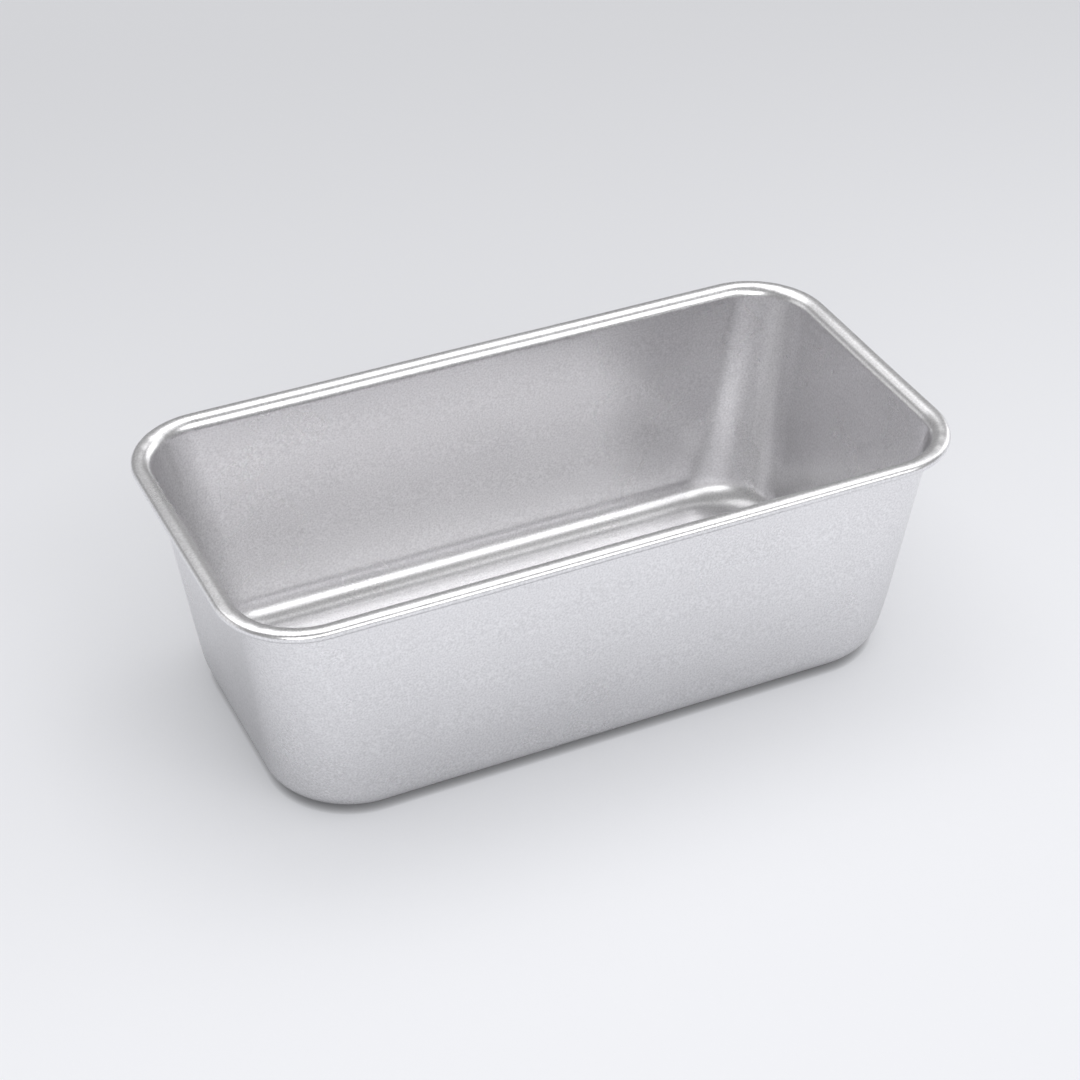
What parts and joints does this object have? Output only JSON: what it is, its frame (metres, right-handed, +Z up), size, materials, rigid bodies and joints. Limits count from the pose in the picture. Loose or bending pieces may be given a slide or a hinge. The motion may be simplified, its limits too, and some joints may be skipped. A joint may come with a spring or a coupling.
{
  "type": "loaf pan",
  "caption": "Deep loaf pan drawn from one aluminium sheet, with leaning walls, rounded corners and a curled rim that closes round a stiffening wire.",
  "frame": {"origin": "middle of the base's underside, on the surface that the pan stands on", "axes": "+X along the pan, +Y across it, +Z up out of its mouth"},
  "size_m": [0.225, 0.116, 0.075],
  "materials": {
    "satin_aluminium": "fine satin, as drawn, slightly grained",
    "galvanised_wire": "dull zinc grey"
  },
  "bodies": {
    "root": {"pan_shell": "satin_aluminium", "rim_wire": "galvanised_wire"}
  },
  "joints": []
}
